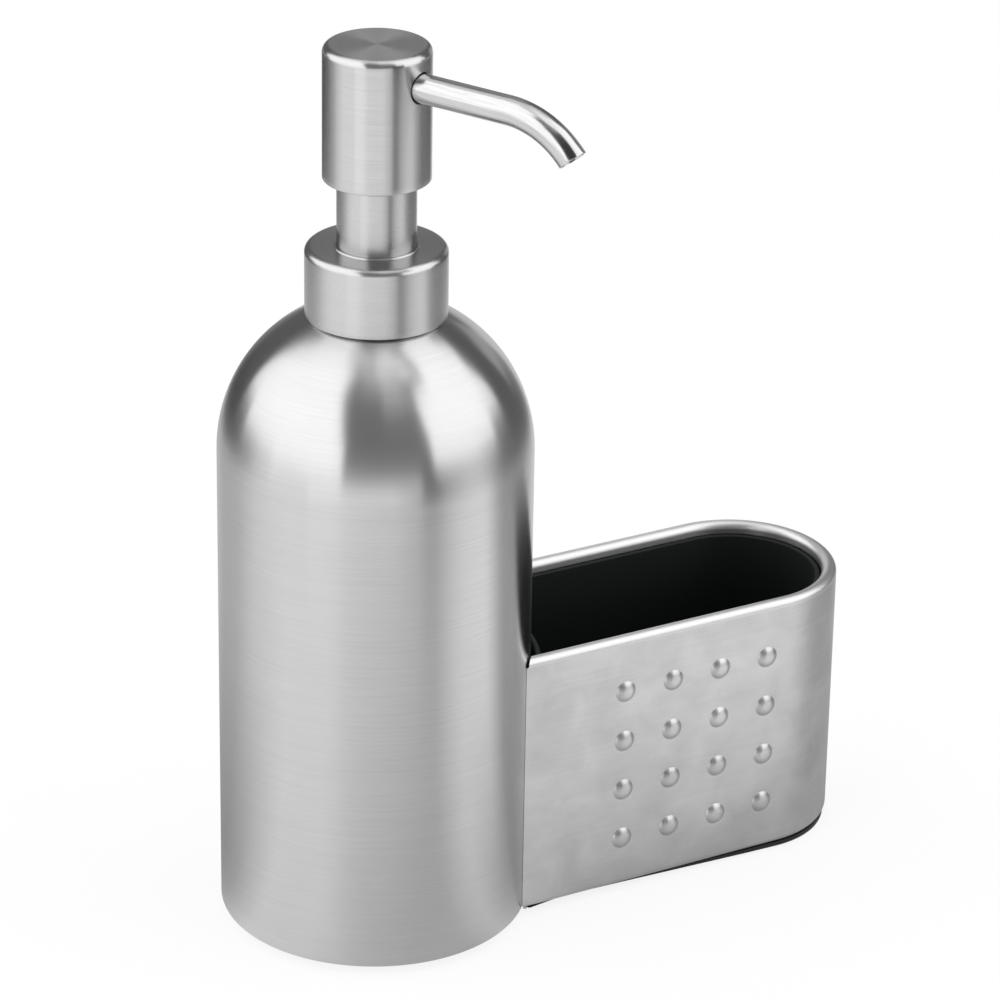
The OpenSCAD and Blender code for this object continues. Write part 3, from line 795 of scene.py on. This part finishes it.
class SOAPCADDY_OT_threads(bpy.types.Operator):
    """Cuts the screw thread on the neck and in the closure"""
    bl_idname = "soapcaddy.threads"
    bl_label = "Screw threads"

    def execute(self, context):
        s = context.scene.soap_pump
        pitch, depth = s.thread_pitch / MM, s.thread_depth / MM
        neck_r, cap_r, low = 13.15, 14.05, 157.6
        self.ridge("neck_thread", "bottle", "inner_steel", steel_inside(), neck_r, depth, low, pitch)
        cap = bpy.data.materials["black_moulded_polypropylene_cap"]
        self.ridge("closure_thread", "collar", "closure_plastic", cap, cap_r, -depth, low - pitch / 2, pitch)
        return {"FINISHED"}

    def ridge(self, name, body, slot, material, root, depth, start, pitch):
        """One ridge of one and a half turns that runs out at both ends."""
        skin, steps, turns, runout = Skin(), 144, 1.5, 14
        angles = [TAU * turns * k / steps for k in range(steps + 1)]
        path = [(root * math.cos(a), root * math.sin(a), start + pitch * a / TAU) for a in angles]

        def height(k):
            ease = min(1.0, k / runout, (steps - k) / runout)
            return 0.12 + 0.88 * math.sin(ease * math.pi / 2)

        def section(k, side):
            # the root sinks into the wall, and the crest is narrower than the root
            out = 1 if depth > 0 else -1
            sink, tall = -0.05 * out, depth * height(k) + 0.05 * out
            spots = [(sink, -0.95), (tall, -0.38), (tall, 0.38), (sink, 0.95)]
            return spots[side] if depth > 0 else spots[3 - side]

        helix(skin, path, angles, 4, section)
        skin.piece(name, body, slot, [material], sharp=25)


class SOAPCADDY_OT_head(bpy.types.Operator):
    """Builds the pump head's steel shell and the bent spout"""
    bl_idname = "soapcaddy.head"
    bl_label = "Head and spout"

    def execute(self, context):
        # half the side of the square round the spout's hole, the steps across it, and the rounding of the top
        cell, n, edge = 5.0, 8, 1.8
        step = 2 * cell / n
        across = [SPOUT_TURN + math.asin((k * step - cell) / HEAD_R) for k in range(n + 1)]
        rest = np.linspace(across[-1], across[0] + TAU, 136)[1:-1]
        angles = across + list(rest)
        inner = HEAD_R - CAP_WALL
        rows = [SPOUT_Z - cell + k * step for k in range(n + 1)]
        profile = outline(
            (inner, HEAD_LOW + 0.2), (inner + 0.2, HEAD_LOW),
            arc(HEAD_R - 0.25, HEAD_LOW + 0.25, 0.25, -90, 0, 4),
            [(HEAD_R, z) for z in np.linspace(HEAD_LOW + 0.25, rows[0], 14)],
            [(HEAD_R, z) for z in rows],
            arc(HEAD_R - edge, HEAD_TOP - edge, edge, 0, 90, 14),
            [(x, HEAD_TOP) for x in np.linspace(HEAD_R - edge, 0, 14)],
        )
        inside = outline(
            (0, HEAD_TOP - CAP_WALL),
            arc(HEAD_R - edge, HEAD_TOP - edge, edge - CAP_WALL, 90, 0, 6),
            [(inner, z) for z in rows[::-1]],
            (inner, HEAD_LOW + 0.2),
        )
        whole = profile + inside[:-1]
        # rows at which the spout's square opening starts, on the outer and the inner face
        outer_row = next(k for k, (x, z) in enumerate(whole) if x == HEAD_R and abs(z - rows[0]) < 1e-6)
        inner_row = next(k for k, (x, z) in enumerate(whole) if x == inner and abs(z - rows[-1]) < 1e-6)
        skip = {(row + a, b) for row in (outer_row, inner_row) for a in range(n) for b in range(n)}
        skin = Skin()
        flat = HEAD_R - edge + 0.01
        points = turned(skin, whole, angles, skip=skip,
                        part_of=lambda a, b: 1 if max(a[0], b[0]) <= flat and a[1] > HEAD_TOP - 0.1 else 0)
        rims = []
        faces = ((outer_row, HEAD_R, 1, [4.4, 4.0, 3.8, 3.7]), (inner_row, inner, -1, [4.2, 3.7]))
        for row, radius, way, rings in faces:
            edge_points = [(points[row + b][a], a * step - cell, b * step - cell) for a, b in square_walk(n)]

            def place(p, q, radius=radius, way=way):
                # the steel round the hole is pressed in a little
                sink = 0.12 if math.hypot(p, q) < 3.8 and way > 0 else 0.0
                a = SPOUT_TURN + math.asin(p / HEAD_R)
                return ((radius - sink) * math.cos(a), (radius - sink) * math.sin(a), SPOUT_Z + way * q)

            rims.append(patch(skin, edge_points, place, rings,
                              lambda p, q: (SPOUT_TURN * HEAD_R + p, 40 + q)))
        # the hole's wall. The inner ring runs the other way up, so its points are matched by distance
        for k in range(len(rims[0])):
            m = (k + 1) % len(rims[0])
            a, b = rims[0][k], rims[0][m]
            c, d = (min(rims[1], key=lambda i, t=t: math.dist(skin.points[i], skin.points[t]))
                    for t in (b, a))
            skin.face([a, b, c, d], [(0, 0), (1, 0), (1, 1), (0, 1)])
        # sharp upright highlights with plain scratches, and a top whose rays turn with the eye; the top's
        # slightly lighter steel colour is painted light
        steel = opaque(context.scene.soap_finish.steel)
        side = shared("brushed_stainless_steel_head", brushed_steel, steel, 0.25,
                      anisotropy=0.88, line_mm=0.28, run_mm=14, contrast=0.055)
        # a slightly lighter copy of the head's steel: painted light on the top
        top = shared("circular_brushed_stainless_steel_top", brushed_steel, linear("cacaca"), 0.3,
                     anisotropy=0.86, line_mm=0.3, run_mm=20, contrast=0.08)
        skin.piece("head_cover", "head", "head_steel", [side, top], ["head_shell"])
        self.spout()
        finish_node("head_core", bpy.data.materials["black_moulded_polypropylene_cap"])
        return {"FINISHED"}

    def spout(self):
        """Satin tube: a straight run, then one bend, cut square with the burr taken off."""
        radius, bore, wall = 3.4, 2.8, 0.6
        # where the straight run starts and ends, then the bend's radius and its angle in degrees
        root, run, bend, sweep = 8.0, 35.842, 23.0, 49.0
        plane = Vector((math.cos(SPOUT_TURN), math.sin(SPOUT_TURN), 0))
        # points of the axis: distance out, angle downwards, height above the straight run
        path = [(x, 0.0, 0.0) for x in np.linspace(root, run, 14)]
        for a in np.linspace(0, sweep, 41)[1:]:
            t = math.radians(a)
            path.append((run + bend * math.sin(t), t, bend * (math.cos(t) - 1)))
        side = Vector((-plane.y, plane.x, 0))
        skin, sides = Skin(), 56
        # along the outside, round the eased cut end and back up the bore: radius, point of the path, shift
        tip = len(path) - 1
        order = [(radius, k, 0.0) for k in range(tip)]
        order += [(radius, tip, -0.12), (radius - 0.04, tip, -0.04), (radius - 0.12, tip, 0.0)]
        order += [(bore + 0.12, tip, 0.0), (bore + 0.03, tip, -0.04), (bore, tip, -0.12)]
        order += [(bore, k, 0.0) for k in range(tip - 1, -1, -1)]
        rows, run_at, last = [], [0.0], None
        for size, k, shift in order:
            x, t, z = path[k]
            centre = plane * x + Vector((0, 0, SPOUT_Z + z))
            ahead = plane * math.cos(t) + Vector((0, 0, -math.sin(t)))
            up = plane * math.sin(t) + Vector((0, 0, math.cos(t)))
            centre += ahead * shift
            rows.append([skin.point(*(centre + side * (size * math.cos(a)) + up * (size * math.sin(a))))
                         for a in even_angles(sides)])
            here = centre + up * size
            if last is not None:
                run_at.append(run_at[-1] + (here - last).length)
            last = here
        side_mm = TAU * radius / sides
        for k in range(len(rows)):
            n = (k + 1) % len(rows)
            near, far = run_at[k], run_at[n] if n else run_at[k] + wall
            for q in range(sides):
                m = (q + 1) % sides
                low, high = q * side_mm, (q + 1) * side_mm
                skin.face([rows[k][q], rows[n][q], rows[n][m], rows[k][m]],
                          [(near, low), (far, low), (far, high), (near, high)])
        # nearly polished tube: a crisp bright streak, with short cloudy scratches along it
        tube = shared("satin_stainless_steel_tube", brushed_steel, linear("cccccc"), 0.19,
                      anisotropy=0.4, line_mm=0.35, run_mm=9, contrast=0.2)
        skin.piece("spout_pipe", "head", "spout_steel", [tube], ["spout_tube"])


# Pump works

class SOAPCADDY_OT_pump(bpy.types.Operator):
    """Finishes the pump's plastic works and winds the return spring"""
    bl_idname = "soapcaddy.pump"
    bl_label = "Pump works"

    def execute(self, context):
        # white with a soft shine, and lets a little light through
        colour = opaque(context.scene.soap_finish.white)
        white = shared("white_moulded_polypropylene", moulded_plastic, colour, 0.36,
                       grain_mm=0.6, depth_mm=0.004, ior=1.49, through=0.2)
        for node in ("pump_housing", "pump_stem"):
            finish_node(node, white)
        # node, material, colour, roughness, grain and its depth in mm, ior, and how much light goes through
        for node, name, colour, *finish in (
            # a little greyer and duller than the cylinder it closes
            ("housing_cap", "white_moulded_HDPE_cap", "dcdcd8", 0.4, 0.6, 0.004, 1.53, 0.2),
            # waxy and slightly yellow
            ("piston_seal", "milky_soft_LDPE_seal", "d6d6d0", 0.45, 0.8, 0.003, 1.51, 0.3),
            # smooth and milky, so that light shows through its wall
            ("dip_tube", "milky_extruded_polyethylene_tube", "dcdedb", 0.3, 1.5, 0.003, 1.51, 0.5),
            # dead matt, with small cells
            ("neck_gasket", "closed_cell_polyethylene_foam", "e8e8e2", 0.8, 0.4, 0.05, 1.3, 0.0),
        ):
            finish_node(node, shared(name, moulded_plastic, linear(colour), *finish))
        # bright wire with a thin streak, and a ball that mirrors what is round it
        wire = shared("drawn_stainless_steel_wire", plain_steel, linear("c4c4c3"), 0.22,
                      grain_mm=0.8, spread=0.04)
        ball = shared("polished_stainless_steel_ball", plain_steel, linear("c8c8c8"), 0.12,
                      grain_mm=0.8, spread=0.03)
        finish_node("inlet_ball", ball)
        self.spring(wire)
        return {"FINISHED"}

    def spring(self, wire):
        """Compression spring of round wire."""
        low, high = (corner.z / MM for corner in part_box("return_spring"))
        radius, wire_r, sides, turns, steps = 3.85, 0.45, 12, 7, 32
        skin, count = Skin(), turns * steps
        angles = [TAU * k / steps for k in range(count + 1)]
        climb = high - low - 2 * wire_r
        path = [(radius * math.cos(a), radius * math.sin(a), low + wire_r + climb * k / count)
                for k, a in enumerate(angles)]

        def section(k, s):
            return wire_r * math.cos(TAU * s / sides), wire_r * math.sin(TAU * s / sides)

        helix(skin, path, angles, sides, section)
        piece = skin.piece("return_spring_wire", "pump", "spring_steel", [wire], ["return_spring"])
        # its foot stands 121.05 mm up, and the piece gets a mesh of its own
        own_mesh(piece)


# Stage

# lens and distances in mm and angles in degrees, fitted to the outlines in the photograph
CAMERA = {"lens": 167.89, "distance": 1088.719, "elevation": 24.86, "roll": 0.963, "turn": 29.526,
          "across": 29.042, "up": -4.585, "target": 111.6}


def camera_axes():
    """The camera's right, up and forward directions, then its level forward and level right directions."""
    e, turn, roll = (math.radians(CAMERA[k]) for k in ("elevation", "turn", "roll"))
    ahead = Vector((math.sin(turn), math.cos(turn), 0))
    level = Vector((math.cos(turn), -math.sin(turn), 0))
    forward = math.cos(e) * ahead - Vector((0, 0, math.sin(e)))
    up = math.sin(e) * ahead + Vector((0, 0, math.cos(e)))
    return (math.cos(roll) * level + math.sin(roll) * up,
            -math.sin(roll) * level + math.cos(roll) * up, forward, ahead, level)


class SOAPCADDY_OT_stage(bpy.types.Operator):
    """Sets up the pale floor, the soft studio light and the camera"""
    bl_idname = "soapcaddy.stage"
    bl_label = "Studio"

    def execute(self, context):
        s = context.scene.soap_studio
        scene = context.scene
        right, up, forward, *_ = camera_axes()
        camera = bpy.data.objects.new("camera", bpy.data.cameras.new("camera"))
        camera.data.lens = CAMERA["lens"]
        camera.data.sensor_width, camera.data.sensor_fit = 36, "HORIZONTAL"
        camera.data.clip_start, camera.data.clip_end = 0.05, 50
        place = Vector((0, 0, CAMERA["target"])) - CAMERA["distance"] * forward
        place = (place + CAMERA["across"] * right + CAMERA["up"] * up) * MM
        turn = Matrix((right, up, -forward)).transposed().to_4x4()
        camera.matrix_world = Matrix.Translation(place) @ turn
        scene.collection.objects.link(camera)
        scene.camera = camera
        scene.view_settings.view_transform = "Standard"

        world = bpy.data.worlds.new("pale_room")
        world.use_nodes = True
        world.node_tree.nodes["Background"].inputs["Color"].default_value = (1, 1, 1, 1)
        world.node_tree.nodes["Background"].inputs["Strength"].default_value = s.room
        scene.world = world

        self.floor(scene)
        soft = s.softbox
        # panels on a dome: name, first and last angle from the camera, lowest and highest, distance, strength
        for name, start, end, low, high, far, strength in (
            ("left_softbox", -129, -22, 12, 74, 2.4, soft),
            ("left_softbox_foot", -112, -22, 2, 12, 2.4, soft),
            ("right_softbox", 44, 118, 14, 40, 2.4, soft),
            ("right_softbox_head", 44, 134, 40, 74, 2.4, soft),
            ("right_softbox_foot", 44, 100, 2, 14, 2.4, soft),
            ("top_softbox_left", -180, 0, 74, 90, 2.4, soft * 0.6),
            ("top_softbox_right", 0, 180, 74, 90, 2.4, soft * 0.85),
            ("back_softbox", 170, 190, 8, 60, 2.2, 0.3),
            ("back_softbox_head", 134, 226, 52, 74, 2.2, 0.9),
            ("front_flag", -22, 44, 2, 72, 2.5, 0.18),
            ("front_flag_edge", -27, -22, 30, 74, 2.3, 0.16),
            ("front_flag_side", -33, -27, 43, 74, 2.3, 0.2),
            ("front_flag_wing", -42, -33, 54, 74, 2.3, 0.25),
            ("front_flag_head", -22, 10, 60, 74, 2.35, 0.36),
            ("front_flag_corner", 10, 50, 51, 74, 2.35, 0.6),
            ("back_curtain", 100, 248, 0, 74, 2.5, 0.14),
            ("back_fill", 140, 158, 4, 20, 2.3, 0.5),
        ):
            self.panel("dome", name, (start, end), [low + (high - low) * k / 8 for k in range(9)], far,
                       lambda angle, rise, strength=strength: strength)
        # upright screens close by: name, distance, and pairs of angle and strength
        for name, far, tones in (
            ("strip_screen", 0.38, [(33, 0.28), (39, 0.09), (45, 0.06), (51, 0.3), (57, 0.42), (66, 0.62),
                                    (76, 0.7), (88, 0.45), (95, 0.22)]),
            ("right_screen", 0.42, [(95, 0.22), (104, 0.15), (142, 0.14), (156, 0.35)]),
            ("left_screen", 0.45, [(-168, 0.35), (-150, 0.1), (-126, 0.08), (-112, 0.12), (-98, 0.35),
                                   (-86, 0.75), (-74, 1.0)]),
        ):
            angles, strengths = zip(*tones)
            self.panel("wall", name, (angles[0], angles[-1]), [0.0, 0.05, 0.1, 0.15], far,
                       lambda angle, rise, x=angles, y=strengths: np.interp(angle, x, y))
        # a bright card behind the caddy, below the collar, for the back of the rolled rim
        self.panel("wall", "rim_card", (150, 183), [0.078, 0.12, 0.168], 0.19, lambda angle, rise: 0.75)
        # a small dark flag just before the spout's end gives it its dark streak
        self.panel("wall", "spout_flag", (29, 53), [0.208, 0.222, 0.24], 0.062,
                   lambda angle, rise: np.interp(rise, (0.222, 0.24), (0.035, 0.12)))
        # the floor round the object as the metal sees it, with painted shade: darker beside the object, where
        # its shadow falls, and in some directions. Its columns: angle, tone beside the object, tone further
        # out
        around = (
            (-180, 0.6, 0.8), (-135, 0.35, 0.6), (-110, 0.38, 0.68), (-90, 0.5, 0.93), (-60, 0.92, 1.05),
            (-30, 0.9, 1.0), (0, 0.7, 0.87), (22, 0.6, 0.78), (42, 0.55, 0.7), (62, 0.74, 1.06),
            (84, 0.5, 1.18), (100, 0.35, 0.5), (125, 0.4, 0.5), (155, 0.6, 0.85), (180, 0.6, 0.8),
        )
        angles, close, open_floor = zip(*around)

        def shade(angle, rise):
            near, far = np.interp(angle, angles, close), np.interp(angle, angles, open_floor)
            return np.interp(rise, (0.06, 0.2, 0.45), (near, far, far * 1.08))

        # a glowing card that only the metal sees, with the object's shadow painted in round its foot
        self.panel("card", "floor_shade", (-180, 180), (0.02, 0.06, 0.08, 0.11, 0.15, 0.2, 0.3, 0.42), 0.0006,
                   shade)
        # and the floor that only the head sees, brighter to the left and in front
        self.panel("card", "outer_floor_shade", (-45, 110), (0.42, 0.5, 0.75), 0.0006,
                   lambda angle, rise: np.interp(angle, (-45, 14, 36), (1.4, 1.55, 0.35)))
        return {"FINISHED"}

    def floor(self, scene):
        """A wide floor of pale matt paper that turns up at its far edge."""
        profile = [(250.0 * k, 0.0) for k in range(1, 21)]
        profile += arc(5000, 700, 700, -90, 0, 10) + [(5700.0, 1300.0)]
        points, faces, count = [(0.0, 0.0, 0.0)], [], 64
        for radius, height in profile:
            points += [(radius * math.cos(a) * MM, radius * math.sin(a) * MM, height * MM)
                       for a in even_angles(count)]
        for q in range(count):
            m = (q + 1) % count
            faces.append([0, 1 + q, 1 + m])
            for k in range(len(profile) - 1):
                low, high = 1 + k * count, 1 + (k + 1) * count
                faces.append([low + q, high + q, high + m, low + m])
        material, tree, out = new_material("matt_white_backdrop_paper")
        place = add(tree, "ShaderNodeTexCoord")
        fibre = add(tree, "ShaderNodeTexNoise", {"Scale": 700.0, "Detail": 2.0},
                    {"Vector": place.outputs["Object"]})
        relief = add(tree, "ShaderNodeBump", {"Strength": 0.05, "Distance": 0.0001},
                     {"Height": fibre.outputs["Fac"]})
        paper = add(tree, "ShaderNodeBsdfPrincipled",
                    {"Base Color": linear("fcfcfc"), "Roughness": 0.9, "Specular IOR Level": 0.1},
                    {"Normal": relief.outputs["Normal"]})
        # white to the eye and in the metal, with a faint rest of the object's shadow
        path = add(tree, "ShaderNodeLightPath")
        seen = add(tree, "ShaderNodeMath", operation="MAXIMUM",
                   links={0: path.outputs["Is Camera Ray"], 1: path.outputs["Is Glossy Ray"]})
        shown = add(tree, "ShaderNodeMath", operation="MAXIMUM",
                    links={0: seen.outputs["Value"], 1: path.outputs["Is Transmission Ray"]})
        share = add(tree, "ShaderNodeMath", {1: 0.85}, {0: shown.outputs["Value"]}, operation="MULTIPLY")
        glow = add(tree, "ShaderNodeEmission", {"Color": (1, 1, 1, 1), "Strength": 1.0})
        both = add(tree, "ShaderNodeMixShader",
                   links={0: share.outputs["Value"], 1: paper.outputs["BSDF"], 2: glow.outputs["Emission"]})
        tree.links.new(both.outputs["Shader"], out.inputs["Surface"])
        mesh = bpy.data.meshes.new("floor")
        mesh.from_pydata(points, [], faces)
        mesh.polygons.foreach_set("use_smooth", [True] * len(faces))
        mesh.materials.append(material)
        floor = bpy.data.objects.new("floor", mesh)
        scene.collection.objects.link(floor)

    def panel(self, kind, name, turn, rises, far, strength):
        """A panel that the camera doesn't see and the metal reflects. Its kind is a dome, a wall or a card.

        Its angles are counted from the camera, to the right of the picture. strength gives its light at each
        angle and rise. A rise is an angle on a dome, a height on a wall and a distance on a card. far is the
        distance of a dome or wall, and the height of a card. Only the bright domes light matt surfaces."""
        *_, ahead, level = camera_axes()
        count = max(4, round((turn[1] - turn[0]) / 3))
        points, faces, glows = [], [], []
        for rise in rises:
            for k in range(count + 1):
                angle = turn[0] + (turn[1] - turn[0]) * k / count
                a = math.radians(angle)
                e = math.radians(rise) if kind == "dome" else 0.0
                way = math.sin(a) * level - math.cos(a) * ahead
                size = rise if kind == "card" else far * math.cos(e)
                height = far * math.sin(e) if kind == "dome" else rise if kind == "wall" else far
                points.append(tuple(way * size + Vector((0, 0, height))))
                glows.append(float(strength(angle, rise)))
        for j in range(len(rises) - 1):
            for k in range(count):
                i = j * (count + 1) + k
                faces.append([i, i + 1, i + count + 2, i + count + 1])
        material, tree, out = new_material(name)
        light = add(tree, "ShaderNodeAttribute", attribute_name="light")
        glow = add(tree, "ShaderNodeEmission", {"Color": (1, 1, 1, 1)}, {"Strength": light.outputs["Fac"]})
        tree.links.new(glow.outputs["Emission"], out.inputs["Surface"])
        mesh = bpy.data.meshes.new(name)
        mesh.from_pydata(points, [], faces)
        mesh.attributes.new("light", "FLOAT", "POINT").data.foreach_set("value", glows)
        mesh.materials.append(material)
        panel = bpy.data.objects.new(name, mesh)
        bpy.context.scene.collection.objects.link(panel)
        panel.visible_camera = False
        panel.visible_shadow = False
        panel.visible_diffuse = kind == "dome" and max(glows) > 0.6


# Add-on

class SOAPCADDY_PT_panel(bpy.types.Panel):
    """Lists the steps that build the soap pump caddy"""
    bl_idname = "SOAPCADDY_PT_panel"
    bl_label = "Soap pump caddy"
    bl_space_type = "VIEW_3D"
    bl_region_type = "UI"
    bl_category = "Soap Caddy"

    def draw(self, context):
        layout = self.layout
        for group in SETTINGS:
            box = layout.box()
            settings = getattr(context.scene, group)
            for key in settings.__annotations__:
                box.prop(settings, key)
        for step in OPERATORS:
            layout.operator(step.bl_idname)


SETTINGS = {"soap_bottle": BottleSettings, "soap_caddy": CaddySettings, "soap_pump": PumpSettings,
            "soap_finish": FinishSettings, "soap_studio": StudioSettings}
OPERATORS = (SOAPCADDY_OT_bottle, SOAPCADDY_OT_caddy, SOAPCADDY_OT_liner, SOAPCADDY_OT_collar,
             SOAPCADDY_OT_threads, SOAPCADDY_OT_head, SOAPCADDY_OT_pump, SOAPCADDY_OT_stage)


def register():
    for name, settings in SETTINGS.items():
        bpy.utils.register_class(settings)
        setattr(bpy.types.Scene, name, bpy.props.PointerProperty(type=settings))
    for part in (*OPERATORS, SOAPCADDY_PT_panel):
        bpy.utils.register_class(part)


def unregister():
    for part in (SOAPCADDY_PT_panel, *OPERATORS[::-1]):
        bpy.utils.unregister_class(part)
    for name, settings in SETTINGS.items():
        delattr(bpy.types.Scene, name)
        bpy.utils.unregister_class(settings)


def main():
    register()
    bpy.ops.soapcaddy.bottle()
    bpy.ops.soapcaddy.caddy()
    bpy.ops.soapcaddy.liner()
    bpy.ops.soapcaddy.collar()
    bpy.ops.soapcaddy.threads()
    bpy.ops.soapcaddy.head()
    bpy.ops.soapcaddy.pump()
    bpy.ops.soapcaddy.stage()


if __name__ == "__main__":
    main()
